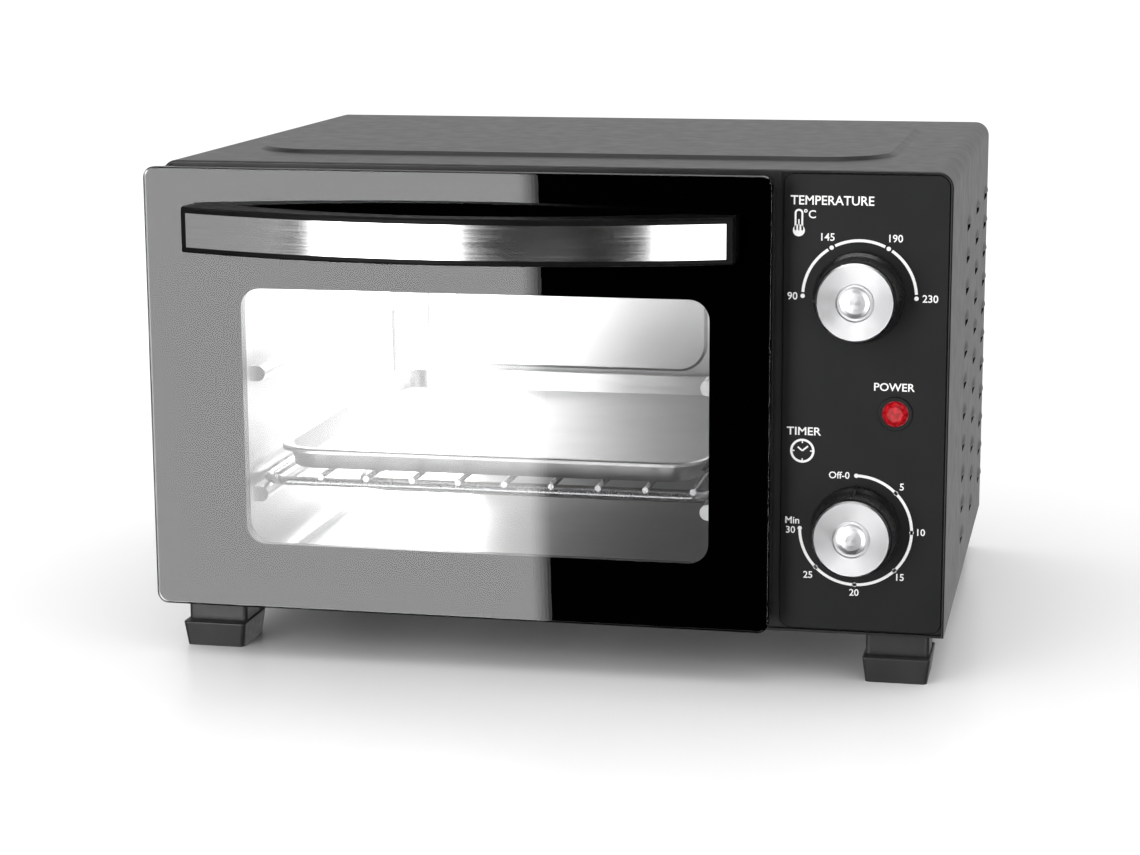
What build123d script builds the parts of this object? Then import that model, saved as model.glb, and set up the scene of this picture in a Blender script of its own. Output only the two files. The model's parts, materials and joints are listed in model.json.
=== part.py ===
from build123d import *
from math import cos, radians, sin, sqrt
import os

# Small countertop toaster oven with a bottom-hinged glass door, a temperature dial and a timer dial.
# The model is drawn in millimetres about the middle of the housing's front edge: X to the right, Y into the
# oven, Z up from the housing's underside. write_parts() then moves every piece to the row's origin, which is
# the middle of the whole object's footprint, on the surface that it stands on.

# ---- driving dimensions ----
HOUSING_W = 352.0
HOUSING_D = 268.0
HOUSING_H = 203.0
FOOT_H = 22.0
SHEET = 1.0                 # wall of every pressed sheet
HOUSING_R = 7.0             # bend between the housing's top and its sides
EMBOSS_RISE = 1.5           # raised field of the top
GAP = 0.1                   # assembly gap between sheets that lie on each other
RUNNING_GAP = 0.05          # radial clearance of a shaft in its bush
SLIDE_GAP = 0.3             # gap under pieces that slide or lift off

FRAME_Y = 1.5               # front face of the sheet that carries cavity, panel and hinges
PANEL_X0, PANEL_X1 = 104.0, 174.7
DIAL_X = 137.0
TEMPERATURE_Z = 149.0
TIMER_Z = 46.7
LAMP_X, LAMP_Z = 153.3, 98.8

CAVITY_X0, CAVITY_X1 = -140.0, 74.0
CAVITY_Z0, CAVITY_Z1 = 14.0, 190.0
CAVITY_Y1 = 250.0
CAVITY_R = 6.0
CAVITY_X = (CAVITY_X0 + CAVITY_X1) / 2
EMBOSS_X, EMBOSS_Z = -36.0, 102.0     # middle of the back wall's raised field

GLASS_X0, GLASS_X1 = -179.0, 101.5
GLASS_Z0, GLASS_Z1 = 2.5, 201.5
GLASS_Y = -16.0             # outer face of the door
GLASS_T = 3.6
MASK_T = 0.4                # black enamel printed on the back of the glass
GLASS_R = 5.0
WINDOW_X0, WINDOW_X1 = -136.0, 74.5
WINDOW_Z0, WINDOW_Z1 = 31.8, 148.0
WINDOW_R = 9.0
DOOR_BACK = -0.5            # inner face of the closed door
DOOR_SHEET = 1.2

HINGE_Y, HINGE_Z = -8.0, 8.0
PIN_R = 2.0
PIN_L = 10.0
TAB_X = (-172.0, 94.0)      # middles of the two hinge tabs
TAB_T = 2.0
TAB_R = 3.4

ARM_X0, ARM_X1 = 97.3, 99.3
ARM_R0, ARM_R1 = 50.0, 57.0
ARM_START, ARM_END = -3.0, 96.0   # degrees from straight up towards the back, about the hinge
LUG_START = 93.6            # the stop lug fills the last degrees of the quadrant's tail
LUG_DEPTH = 4.0
RIVET_HEAD_R, RIVET_HEAD_T = 2.2, 1.0
RIVET_R = 53.5              # distance of the rivets from the hinge axis
RIVET_ANGLES = (-0.5, 5.0)

HANDLE_X0, HANDLE_X1 = -158.0, 86.0
HANDLE_Z0, HANDLE_Z1 = 165.0, 185.0
HANDLE_FRONT = -50.0        # front of the bow at its middle
HANDLE_END = -26.0          # front of the bow at its ends
HANDLE_THICK = 10.0
HANDLE_PAD = 24.0           # length of the solid pad at each end
STRIP_BORDER = 2.5
STRIP_T = 1.0
STRIP_PROUD = 0.3
HANDLE_X = (HANDLE_X0 + HANDLE_X1) / 2
HANDLE_SCREW_X = (HANDLE_X0 + HANDLE_PAD / 2, HANDLE_X1 - HANDLE_PAD / 2)
HANDLE_SCREW_Z = (HANDLE_Z0 + HANDLE_Z1) / 2
BOW_HALF = (HANDLE_X1 - HANDLE_X0) / 2
BOW_SAG = HANDLE_END - HANDLE_FRONT
BOW_R = (BOW_HALF**2 + BOW_SAG**2) / (2 * BOW_SAG)
BOW_Y = HANDLE_FRONT + BOW_R    # axis of the bow's arcs

KNOB_BASE = -1.0            # back of a knob, just ahead of the panel
KNOB_L = 16.0
KNOB_R = 19.5
SHAFT_R = 3.0
BUSH_R = 4.8
CAP_R = 16.8

RAIL_Z = 49.6               # middle of the lower rail; its top carries the rack
RAIL_STEP = 56.0            # height from the lower rail to the upper one
RAIL_R = 3.5
RAIL_NOSE = 7.0             # how far a rail stands into the cavity
RACK_HALF_W = 104.0
RACK_Y0, RACK_Y1 = 14.0, 238.0
RACK_WIRE_R = 1.4
RACK_FRAME_R = 2.0
RACK_WIRES = 10
RACK_PITCH = 21.5
TRAY_W, TRAY_D = 200.0, 223.0
TRAY_Y0 = 17.0
TRAY_Z0, TRAY_Z1 = 60.0, 70.0
TRAY_T = 0.8

ELEMENT_R = 3.25
ELEMENT_Y = (128.0, 204.0)  # the two legs of each heating element
UPPER_ELEMENT_Z = 176.0
LOWER_ELEMENT_Z = 30.0
ELEMENT_X0, ELEMENT_X1 = -125.0, 82.0    # its bends at the left, its open ends at the right
ELEMENT_BEND = 16.0
PIN_TIP = 93.0              # end of the cold pins
SHIELD_X = 88.0

FOOT_X = (-158.5, 155.5)
FOOT_Y = (17.0, 251.0)      # middles of the front and rear feet
SPACER_L = 12.0
SPACERS = ((-132.0, 176.0), (132.0, 176.0))
GLAND = (140.0, 26.0)
BACK_SCREWS = ((-166, 14), (-166, 188), (166, 14), (166, 188), (0, 192), (0, 11))

LOUVRE_Y = (114.0, 184.0, 250.0)
LOUVRE_ROWS = 11
LOUVRE_TOP = 169.0
LOUVRE_PITCH = 14.8
LOUVRE_L = 26.0             # length of a hood where it leaves the wall
LOUVRE_R = 5.0              # its radius at the middle
LOUVRE_PROUD = 1.2
LOUVRE_SKIN = 0.8
MOUTH_L, MOUTH_H = 22.0, 3.6    # open slot under each hood

# The louvres stand proud of the right side and the glass overhangs the left one.
CENTRE_X = (GLASS_X0 + HOUSING_W / 2 + LOUVRE_PROUD) / 2
CENTRE_Y = (HANDLE_FRONT - STRIP_PROUD + HOUSING_D + SPACER_L) / 2
TO_ROW_ORIGIN = Pos(-CENTRE_X, -CENTRE_Y, FOOT_H)

INNER_X = HOUSING_W / 2 - SHEET - GAP     # half width between the housing's side walls


# ---- shared shapes ----
def span(x0, x1, y0, y1, z0, z1):
    """Block between two corners."""
    centre = Pos((x0 + x1) / 2, (y0 + y1) / 2, (z0 + z1) / 2)
    return centre * Box(x1 - x0, y1 - y0, z1 - z0)


def along_x(radius, x0, x1, y, z):
    return Pos((x0 + x1) / 2, y, z) * Rot(0, 90, 0) * Cylinder(radius, x1 - x0)


def along_y(radius, y0, y1, x, z):
    return Pos(x, (y0 + y1) / 2, z) * Rot(90, 0, 0) * Cylinder(radius, y1 - y0)


def along_z(radius, z0, z1, x, y):
    return Pos(x, y, (z0 + z1) / 2) * Cylinder(radius, z1 - z0)


def front_block(x0, x1, z0, z1, y0, y1, radius):
    """Block whose outline, seen from the front, has four round corners."""
    plane = Plane(origin=((x0 + x1) / 2, y1, (z0 + z1) / 2), x_dir=(1, 0, 0), z_dir=(0, -1, 0))
    return extrude(plane * RectangleRounded(x1 - x0, z1 - z0, radius), amount=y1 - y0)


def arch_block(x0, x1, z0, z1, y0, y1, radius):
    """Like front_block, but only the two top corners are round."""
    tall = front_block(x0, x1, z0 - 3 * radius, z1, y0, y1, radius)
    return tall & span(x0 - 1, x1 + 1, y0 - 1, y1 + 1, z0, z1 + 1)


def plate_block(x0, x1, y0, y1, z0, z1, radius):
    """Block whose outline, seen from above, has four round corners."""
    plane = Plane(origin=((x0 + x1) / 2, (y0 + y1) / 2, z0), x_dir=(1, 0, 0), z_dir=(0, 0, 1))
    return extrude(plane * RectangleRounded(x1 - x0, y1 - y0, radius), amount=z1 - z0)


def raised_field(plane, width, height, radius, rise, slope):
    """Embossed field with sloping edges, standing on a plane."""
    foot = plane * RectangleRounded(width, height, radius)
    crown = plane.offset(rise) * RectangleRounded(width - 2 * slope, height - 2 * slope, radius - slope)
    return loft([foot, crown])


def bent_rod(points, bend, radius):
    """Round rod along straight runs joined by tangent arcs."""
    path = FilletPolyline(*points, radius=bend)
    section = Plane(origin=path @ 0, z_dir=path % 0) * Circle(radius)
    return sweep(section, path)


def turned(profile):
    """Solid of revolution about the Y axis; profile points are (radius, distance towards the front)."""
    face = Plane.XZ * make_face(Polyline(*profile, close=True))
    return Rot(90, 0, 0) * revolve(face, Axis.Z)


def from_hinge(distance, degrees):
    """Point (y, z) at a distance from the hinge axis, at an angle from straight up towards the back."""
    angle = radians(degrees)
    return HINGE_Y + distance * sin(angle), HINGE_Z + distance * cos(angle)


def rivet_spots():
    """Places (y, z) of the rivets that join the quadrant to the door."""
    return [from_hinge(RIVET_R, angle) for angle in RIVET_ANGLES]


# ---- housing ----
def barrel(radius, length, bulge):
    """Solid of revolution about Y whose side is an arc, widest at its middle."""
    end = radius - bulge
    side = ThreePointArc((end, -length / 2), (radius, 0), (end, length / 2))
    inside = Polyline((end, length / 2), (0, length / 2), (0, -length / 2), (end, -length / 2))
    return revolve(make_face(side + inside), Axis.Y)


def louvre():
    """Hood of one louvre and the hollow that it covers, at height zero on the right side wall."""
    wall_x = HOUSING_W / 2
    axis = Pos(wall_x + LOUVRE_PROUD - LOUVRE_R, 0, 0)
    hollow = axis * barrel(LOUVRE_R - LOUVRE_SKIN, LOUVRE_L, LOUVRE_PROUD)
    above = span(wall_x - SHEET, wall_x + LOUVRE_R, -LOUVRE_L, LOUVRE_L, 0, LOUVRE_R)
    hood = (axis * barrel(LOUVRE_R, LOUVRE_L, LOUVRE_PROUD) - hollow) & above
    plane = Plane(origin=(wall_x - 2 * SHEET, 0, 0), x_dir=(0, 1, 0), z_dir=(1, 0, 0))
    mouth = extrude(plane * RectangleRounded(MOUTH_L, 2 * MOUTH_H, 1.7), amount=3 * SHEET)
    return hood, hollow + (mouth - above)


def housing():
    """Sheet wrapped over the left side, the top and the right side, with a raised field and louvres."""
    half = HOUSING_W / 2
    outer = arch_block(-half, half, 0, HOUSING_H, 0, HOUSING_D, HOUSING_R)
    inner = arch_block(-half + SHEET, half - SHEET, -1, HOUSING_H - SHEET, -1, HOUSING_D + 1, HOUSING_R - SHEET)
    shell = outer - inner
    lip = span(-half + HOUSING_R, PANEL_X0 - 1, 0, SHEET, HOUSING_H - 8, HOUSING_H - SHEET / 2)
    shell = shell + lip
    front_edges = shell.edges().filter_by(Axis.X).filter_by(
        lambda e: abs(e.center().Y) < 0.01 and abs(e.center().Z - HOUSING_H) < 0.01
    )
    shell = fillet(front_edges, 0.9)

    field = dict(width=301, height=197, radius=34, slope=4)
    top = Plane(origin=(-3.5, 139.5, HOUSING_H - 0.5))
    shell = shell + raised_field(top, rise=EMBOSS_RISE + 0.5, **field)
    below = Plane(origin=(-3.5, 139.5, HOUSING_H - SHEET - 0.5))
    shell = shell - raised_field(below, rise=EMBOSS_RISE + 0.5, width=299, height=195, radius=33, slope=4)

    hood, hollow = louvre()
    spots = [
        Pos(0, y, LOUVRE_TOP - row * LOUVRE_PITCH) for y in LOUVRE_Y for row in range(LOUVRE_ROWS)
    ]
    right_hollows = [spot * hollow for spot in spots]
    right_hoods = [spot * hood for spot in spots]
    left_hollows = [mirror(piece, about=Plane.YZ) for piece in right_hollows]
    left_hoods = [mirror(piece, about=Plane.YZ) for piece in right_hoods]
    shell = shell - right_hollows - left_hollows
    return shell + right_hoods + left_hoods


def base_plate():
    """Bottom sheet with cooling slots and the feet's screw holes."""
    plate = span(-INNER_X, INNER_X, GAP, HOUSING_D - GAP, 0, SHEET)
    slots = []
    for y in range(70, 220, 14):
        for x in (-110, -36, 38, 130):
            slots.append(plate_block(x - 24, x + 24, y - 2, y + 2, -1, SHEET + 1, 1.9))
    holes = [along_z(2.1, -1, SHEET + 1, x, y) for x in FOOT_X for y in FOOT_Y]
    return plate - slots - holes


def back_cover():
    """Rear sheet with rows of vents, the cord's hole and the screw holes."""
    y0, y1 = HOUSING_D - SHEET, HOUSING_D
    plate = arch_block(-INNER_X, INNER_X, SHEET + GAP, HOUSING_H - SHEET - GAP, y0, y1, HOUSING_R - SHEET - GAP)
    vents = []
    for column in range(14):
        x = -91 + 14 * column
        for z in (62, 96, 130, 164):
            vents.append(front_block(x - 2, x + 2, z - 13, z + 13, y0 - 1, y1 + 1, 1.9))
    holes = [along_y(1.6, y0 - 1, y1 + 1, x, z) for x, z in BACK_SCREWS]
    gland = along_y(6.5, y0 - 1, y1 + 1, *GLAND)
    return plate - vents - holes - gland


def front_frame():
    """Sheet behind the door and the panel, open for the cavity, the dials, the hinges and the door arm."""
    y0, y1 = FRAME_Y, FRAME_Y + SHEET
    sheet = arch_block(-INNER_X, INNER_X, SHEET + GAP, HOUSING_H - SHEET - GAP, y0, y1, HOUSING_R - SHEET - GAP)
    cuts = [front_block(CAVITY_X0, CAVITY_X1, CAVITY_Z0, CAVITY_Z1, y0 - 1, y1 + 1, CAVITY_R)]
    for z in (TEMPERATURE_Z, TIMER_Z):
        cuts.append(along_y(BUSH_R + GAP, y0 - 1, y1 + 1, DIAL_X, z))
    cuts.append(along_y(5.8, y0 - 1, y1 + 1, LAMP_X, LAMP_Z))
    for x in TAB_X:
        cuts.append(span(x - TAB_T / 2 - 0.5, x + TAB_T / 2 + 0.5, y0 - 1, y1 + 1, 4.0, 12.0))
    cuts.append(span(ARM_X0 - 0.5, ARM_X1 + 0.5, y0 - 1, y1 + 1, HINGE_Z + 48.2, HINGE_Z + 57.6))
    return sheet - cuts


def control_panel():
    """Thin moulded fascia beside the door, flush with the housing's front edge."""
    plate = front_block(PANEL_X0, PANEL_X1, SHEET + 0.5, HOUSING_H - SHEET - 0.4, 0, FRAME_Y, 5)
    plate = fillet(plate.faces().sort_by(Axis.Y)[0].edges(), 0.6)
    for z in (TEMPERATURE_Z, TIMER_Z):
        plate = plate - along_y(BUSH_R + GAP, -1, 3, DIAL_X, z)
    return plate - along_y(5.8, -1, 3, LAMP_X, LAMP_Z)


# ---- cavity ----
def rail_pressing(side, z, radius, nose, y0, y1):
    """One guide rail pressed into a side wall; side is -1 for the left wall and 1 for the right."""
    wall = CAVITY_X0 if side < 0 else CAVITY_X1
    tip = wall - side * (nose - RAIL_R)
    outside = wall + side * 2
    block = span(min(tip, outside), max(tip, outside), y0, y1, z - radius, z + radius)
    return block + along_y(radius, y0, y1, tip, z)


def cavity_liner():
    """Box of bright sheet round the cooking space, with two pairs of rails."""
    y0 = FRAME_Y + SHEET + GAP
    outer = front_block(
        CAVITY_X0 - SHEET, CAVITY_X1 + SHEET, CAVITY_Z0 - SHEET, CAVITY_Z1 + SHEET,
        y0, CAVITY_Y1, CAVITY_R + SHEET
    )
    rails = []
    hollows = []
    for side in (-1, 1):
        for z in (RAIL_Z, RAIL_Z + RAIL_STEP):
            rails.append(rail_pressing(side, z, RAIL_R, RAIL_NOSE, 10, 240))
            hollows.append(rail_pressing(side, z, RAIL_R - 1, RAIL_NOSE, 11, 239))
    inner = front_block(CAVITY_X0, CAVITY_X1, CAVITY_Z0, CAVITY_Z1, y0 - 1, CAVITY_Y1 + 1, CAVITY_R)
    within = span(CAVITY_X0 - SHEET, CAVITY_X1 + SHEET, 0, CAVITY_Y1, 0, HOUSING_H)
    rails = [rail & within for rail in rails]
    liner = outer - inner + rails - hollows
    holes = [
        along_x(4.5, CAVITY_X1 - 1, CAVITY_X1 + 3, y, z)
        for y in ELEMENT_Y for z in (UPPER_ELEMENT_Z, LOWER_ELEMENT_Z)
    ]
    return liner - holes


def cavity_back():
    """Back wall of the cavity with a stepped embossed field that stands forward."""
    y0 = CAVITY_Y1 + GAP
    wall = front_block(
        CAVITY_X0 - SHEET, CAVITY_X1 + SHEET, CAVITY_Z0 - SHEET, CAVITY_Z1 + SHEET,
        y0, y0 + SHEET, CAVITY_R + SHEET
    )

    def field(y, width, height, radius, rise):
        plane = Plane(origin=(EMBOSS_X, y, EMBOSS_Z), x_dir=(1, 0, 0), z_dir=(0, -1, 0))
        return raised_field(plane, width, height, radius, rise, 2)

    wall = wall + field(y0 + 0.5, 171, 94, 20, 2.0) + field(y0 - 1.0, 138, 64, 16, 2.0)
    wall = wall - field(y0 + SHEET + 0.5, 169.5, 92.5, 19, 2.0)
    return wall - field(y0, 136.5, 62.5, 15, 2.0)


def heat_shield():
    """Upright sheet between the hot cavity and the controls."""
    top = HOUSING_H - 8
    wall = span(SHIELD_X, SHIELD_X + 0.8, 4, 248, SHEET + GAP, top)
    foot = span(SHIELD_X - 12, SHIELD_X + 0.8, 4, 248, SHEET + GAP, SHEET + GAP + 0.8)
    head = span(SHIELD_X - 12, SHIELD_X + 0.8, 4, 248, top - 0.8, top)
    holes = [
        along_x(4, SHIELD_X - 1, SHIELD_X + 2, y, z)
        for y in ELEMENT_Y for z in (UPPER_ELEMENT_Z, LOWER_ELEMENT_Z)
    ]
    return wall + foot + head - holes


def crumb_tray():
    """Shallow pan on the cavity floor with a raised front lip."""
    x0, x1 = CAVITY_X0 + 8, CAVITY_X1 - 8
    z0 = CAVITY_Z0 + GAP
    outer = plate_block(x0, x1, 6, 242, z0, z0 + 4, 4)
    inner = plate_block(x0 + 0.8, x1 - 0.8, 6.8, 241.2, z0 + 0.8, z0 + 5, 3.2)
    lip = span(x0 + 6, x1 - 6, 6, 6.8, z0 + 3, z0 + 9)
    return outer - inner + lip


def heating_element(z):
    """Hairpin of sheathed tube with both ends through the right wall."""
    front, rear = ELEMENT_Y
    points = [(ELEMENT_X1, front, z), (ELEMENT_X0, front, z), (ELEMENT_X0, rear, z), (ELEMENT_X1, rear, z)]
    return bent_rod(points, ELEMENT_BEND, ELEMENT_R)


def element_bushings():
    """Ceramic collars that hold the elements' ends in the right wall."""
    rings = []
    for y in ELEMENT_Y:
        for z in (UPPER_ELEMENT_Z, LOWER_ELEMENT_Z):
            ring = along_x(4.4, CAVITY_X1 - 2, CAVITY_X1 + 4, y, z)
            ring = ring + along_x(7, CAVITY_X1 + SHEET + GAP, CAVITY_X1 + 4, y, z)
            rings.append(ring - along_x(ELEMENT_R + RUNNING_GAP, CAVITY_X1 - 3, CAVITY_X1 + 5, y, z))
    return rings


def element_terminals():
    """Cold pins at the elements' ends, reaching through the heat shield."""
    pins = []
    for y in ELEMENT_Y:
        for z in (UPPER_ELEMENT_Z, LOWER_ELEMENT_Z):
            pins.append(along_x(1.6, ELEMENT_X1, PIN_TIP, y, z))
    return pins


# ---- controls ----
def control_body(z, width, depth, height):
    """Switch body behind the frame, with the bush that carries its shaft."""
    y0 = FRAME_Y + SHEET + GAP
    case = span(DIAL_X - width / 2, DIAL_X + width / 2, y0, y0 + depth, z - height / 2, z + height / 2)
    case = fillet(case.edges().filter_by(Axis.Y), 3)
    bush = along_y(BUSH_R, 0.2, y0 + 1, DIAL_X, z)
    bore = along_y(SHAFT_R + RUNNING_GAP, -1, y0 + 12, DIAL_X, z)
    return case + bush - bore


def thermostat_body():
    """Thermostat with its ceramic stack and two tabs."""
    body = control_body(TEMPERATURE_Z, 38, 18, 34)
    y1 = FRAME_Y + SHEET + GAP + 18
    tabs = [span(x - 3.2, x + 3.2, y1 - 0.1, y1 + 9, TEMPERATURE_Z + 6, TEMPERATURE_Z + 6.8) for x in (128, 146)]
    stack = along_y(7, y1 - 0.1, y1 + 5, DIAL_X, TEMPERATURE_Z - 6)
    return body + tabs + stack


def timer_body():
    """Clockwork timer with the post that carries its bell."""
    body = control_body(TIMER_Z, 44, 28, 44)
    y1 = FRAME_Y + SHEET + GAP + 28
    post = along_y(2, y1 - 0.1, y1 + 12, DIAL_X, TIMER_Z)
    tabs = [span(x - 3.2, x + 3.2, y1 - 0.1, y1 + 8, TIMER_Z + 17, TIMER_Z + 17.8) for x in (124, 150)]
    return body + post + tabs


def timer_bell():
    """Domed steel bell on the timer's post."""
    y0 = FRAME_Y + SHEET + GAP + 28 + 2
    outer, inner = 17.0, 16.0
    dome = Pos(DIAL_X, y0, TIMER_Z) * (Sphere(outer) - Sphere(inner))
    dome = dome & span(DIAL_X - 20, DIAL_X + 20, y0 + 6, y0 + 10, TIMER_Z - 20, TIMER_Z + 20)
    crown = along_y(sqrt(inner**2 - 9.5**2) + 1.0, y0 + 9.2, y0 + 10, DIAL_X, TIMER_Z)
    return dome + crown - along_y(2 + RUNNING_GAP, y0, y0 + 20, DIAL_X, TIMER_Z)


def dial_shaft(z):
    """Round shaft from the switch body into the knob."""
    y0 = FRAME_Y + SHEET + GAP
    return along_y(SHAFT_R, KNOB_BASE - 12, y0 + 11.5, DIAL_X, z)


def knob(z, pointer_angle):
    """Hollow moulded knob with a tapered skirt, a hub and one pointer rib, clockwise angle seen from ahead."""
    profile = [(0, 0), (KNOB_R, 0), (KNOB_R, 2.5), (KNOB_R - 1.3, 4), (CAP_R + 0.6, KNOB_L - 1.5), (CAP_R, KNOB_L)]
    body = turned(profile + [(0, KNOB_L)])
    hollow = turned([(6, -1), (KNOB_R - 2.2, -1), (KNOB_R - 3.4, 4), (CAP_R - 1.8, KNOB_L - 3), (6, KNOB_L - 3)])
    bore = along_y(SHAFT_R, -12, 1, 0, 0)
    rib = span(-0.7, 0.7, -KNOB_L + 1.5, 0, CAP_R - 1, KNOB_R + 0.35) - turned(
        [(KNOB_R + 0.2, 3), (CAP_R + 1.2, KNOB_L), (KNOB_R + 9, KNOB_L), (KNOB_R + 9, 3)]
    )
    body = body - hollow - bore + rib
    return Pos(DIAL_X, KNOB_BASE, z) * Rot(0, pointer_angle, 0) * body


def knob_cap(z):
    """Spun metal disc on the knob's face with a ring groove and a low central dome."""
    profile = [(0, 0), (CAP_R, 0), (CAP_R, 0.7), (CAP_R - 0.7, 1.4), (8.2, 1.1), (7.6, 0.7), (6.8, 0.7)]
    profile = profile + [(6.2, 1.5), (4.6, 2.0), (2.4, 2.3), (0, 2.4)]
    return Pos(DIAL_X, KNOB_BASE - KNOB_L, z) * turned(profile)


def lamp_lens():
    """Faceted lens of the power lamp, with its stem through the panel."""
    stem = along_y(5.7, 0, FRAME_Y + SHEET + 2, LAMP_X, LAMP_Z)
    front = Plane(origin=(LAMP_X, 0, LAMP_Z), x_dir=(1, 0, 0), z_dir=(0, -1, 0))
    facets = loft([front * RegularPolygon(5.7, 8), front.offset(1.9) * RegularPolygon(3.4, 8)])
    return stem + facets


def lamp_bezel():
    """Thin ring round the lens on the face of the panel."""
    ring = along_y(7.4, -0.9, 0, LAMP_X, LAMP_Z)
    ring = fillet(ring.faces().sort_by(Axis.Y)[0].edges(), 0.4)
    return ring - along_y(5.75, -2, 1, LAMP_X, LAMP_Z)


def lamp_holder():
    """Socket behind the frame that clips over the lens stem."""
    y0 = FRAME_Y + SHEET + GAP
    cup = along_y(7.5, y0, y0 + 14, LAMP_X, LAMP_Z) - along_y(5.8, y0 - 1, y0 + 4, LAMP_X, LAMP_Z)
    pins = [along_y(0.8, y0 + 13.9, y0 + 20, LAMP_X + x, LAMP_Z) for x in (-3, 3)]
    return cup + pins


# ---- door ----
def door_glass():
    """Tempered pane that covers the whole door front."""
    pane = front_block(GLASS_X0, GLASS_X1, GLASS_Z0, GLASS_Z1, GLASS_Y, GLASS_Y + GLASS_T, GLASS_R)
    pane = fillet(pane.faces().sort_by(Axis.Y)[0].edges(), 0.8)
    return pane - [along_y(3, GLASS_Y - 1, GLASS_Y + GLASS_T + 1, x, HANDLE_SCREW_Z) for x in HANDLE_SCREW_X]


def door_mask():
    """Opaque enamel on the back of the pane, open at the window."""
    y0 = GLASS_Y + GLASS_T
    y1 = y0 + MASK_T
    mask = front_block(GLASS_X0 + 0.5, GLASS_X1 - 0.5, GLASS_Z0 + 0.5, GLASS_Z1 - 0.5, y0, y1, GLASS_R - 0.5)
    window = front_block(WINDOW_X0, WINDOW_X1, WINDOW_Z0, WINDOW_Z1, y0 - 1, y1 + 1, WINDOW_R)
    return mask - window - [along_y(3, y0 - 1, y1 + 1, x, HANDLE_SCREW_Z) for x in HANDLE_SCREW_X]


def door_frame():
    """Pressed steel pan behind the glass: edge walls, a back sheet, a window collar and two hinge ears."""
    y0, y1 = GLASS_Y + GLASS_T + MASK_T, DOOR_BACK
    x0, x1, z0, z1 = GLASS_X0 + 1, GLASS_X1 - 1, HINGE_Z + 0.5, GLASS_Z1 - 1
    s = DOOR_SHEET
    outer = front_block(x0, x1, z0, z1, y0, y1, GLASS_R - 1)
    hollow = front_block(x0 + s, x1 - s, z0 + s, z1 - s, y0 - 1, y1 - s, GLASS_R - 1 - s)
    clear = 2.0
    wx0, wx1, wz0, wz1 = WINDOW_X0 - clear, WINDOW_X1 + clear, WINDOW_Z0 - clear, WINDOW_Z1 + clear
    collar = front_block(wx0 - s, wx1 + s, wz0 - s, wz1 + s, y0 - 1, y1, WINDOW_R + clear + s)
    window = front_block(wx0, wx1, wz0, wz1, y0 - 2, y1 + 1, WINDOW_R + clear)
    pan = outer - (hollow - collar) - window
    # Clear of the pins and tabs, so that the door can turn about them.
    pan = pan - span(x0 + s, x0 + s + 10, y0 - 1, y1 + 1, z0 - 1, HINGE_Z + 4.5)
    pan = pan - span(x1 - s - 10, x1 - s, y0 - 1, y1 + 1, z0 - 1, HINGE_Z + 4.5)
    ears = [along_x(3.9, x0, x0 + s, HINGE_Y, HINGE_Z), along_x(3.9, x1 - s, x1, HINGE_Y, HINGE_Z)]
    pan = pan + ears
    cuts = [along_x(PIN_R, x0 - 1, x0 + 3, HINGE_Y, HINGE_Z), along_x(PIN_R, x1 - 3, x1 + 1, HINGE_Y, HINGE_Z)]
    slot_x0 = ARM_X0 - RIVET_HEAD_T - 0.3
    cuts.append(span(slot_x0, ARM_X1, y1 - s - 1, y1 + 1, HINGE_Z + 48.5, HINGE_Z + 57.5))
    cuts = cuts + [along_x(1.2, x1 - 2, x1 + 1, y, z) for y, z in rivet_spots()]
    return pan - cuts


def hinge_pins():
    """Two pivot pins fixed in the door's ears."""
    x0, x1 = GLASS_X0 + 1, GLASS_X1 - 1
    return [
        along_x(PIN_R, x0, x0 + PIN_L, HINGE_Y, HINGE_Z),
        along_x(PIN_R, x1 - PIN_L, x1, HINGE_Y, HINGE_Z),
    ]


def hinge_brackets():
    """Two steel tabs behind the front frame that reach through it and carry the pins."""
    y1 = FRAME_Y + SHEET + GAP
    brackets = []
    for x, side in zip(TAB_X, (1, -1)):
        x0, x1 = x - TAB_T / 2, x + TAB_T / 2
        tab = along_x(TAB_R, x0, x1, HINGE_Y, HINGE_Z)
        tab = tab + span(x0, x1, HINGE_Y, y1 + 1, HINGE_Z - TAB_R, HINGE_Z + TAB_R)
        flange_end = x1 + 10 if side > 0 else x1
        flange_start = x0 if side > 0 else x0 - 4
        tab = tab + span(flange_start, flange_end, y1, y1 + 1.2, 3, 24)
        brackets.append(tab - along_x(PIN_R + RUNNING_GAP, x0 - 1, x1 + 1, HINGE_Y, HINGE_Z))
    return brackets


def sector(start, end, reach):
    """Wedge about the hinge in the plane x = ARM_X0, between two angles."""
    steps = 6
    points = [(HINGE_Y, HINGE_Z)]
    for step in range(steps + 1):
        points.append(from_hinge(reach, start + (end - start) * step / steps))
    return make_face(Polyline(*points, close=True))


def door_arm():
    """Flat quadrant about the hinge axis that guides the door and stops it, with a lug at its tail."""
    plane = Plane(origin=(ARM_X0, 0, 0), x_dir=(0, 1, 0), z_dir=(1, 0, 0))
    centre = Pos(HINGE_Y, HINGE_Z)
    band = (centre * (Circle(ARM_R1) - Circle(ARM_R0))) & sector(ARM_START, ARM_END, 90)
    lug = (centre * (Circle(ARM_R1) - Circle(ARM_R0 - LUG_DEPTH))) & sector(LUG_START, ARM_END, 90)
    arm = extrude(plane * (band + lug), amount=ARM_X1 - ARM_X0)
    return arm - [along_x(1.2, ARM_X0 - 1, ARM_X1 + 1, y, z) for y, z in rivet_spots()]


def arm_rivets():
    """Rivets that hold the quadrant to the door's side wall."""
    rivets = []
    for y, z in rivet_spots():
        stem = along_x(1.2, ARM_X0, GLASS_X1 - 1, y, z)
        rivets.append(stem + along_x(RIVET_HEAD_R, ARM_X0 - RIVET_HEAD_T, ARM_X0, y, z))
    return rivets


def door_spring():
    """Closing spring beside the quadrant, drawn as the sleeve that its coils fill."""
    return along_y(3, 52, 112, 93.5, 8) - along_y(2, 51, 113, 93.5, 8)


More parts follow.
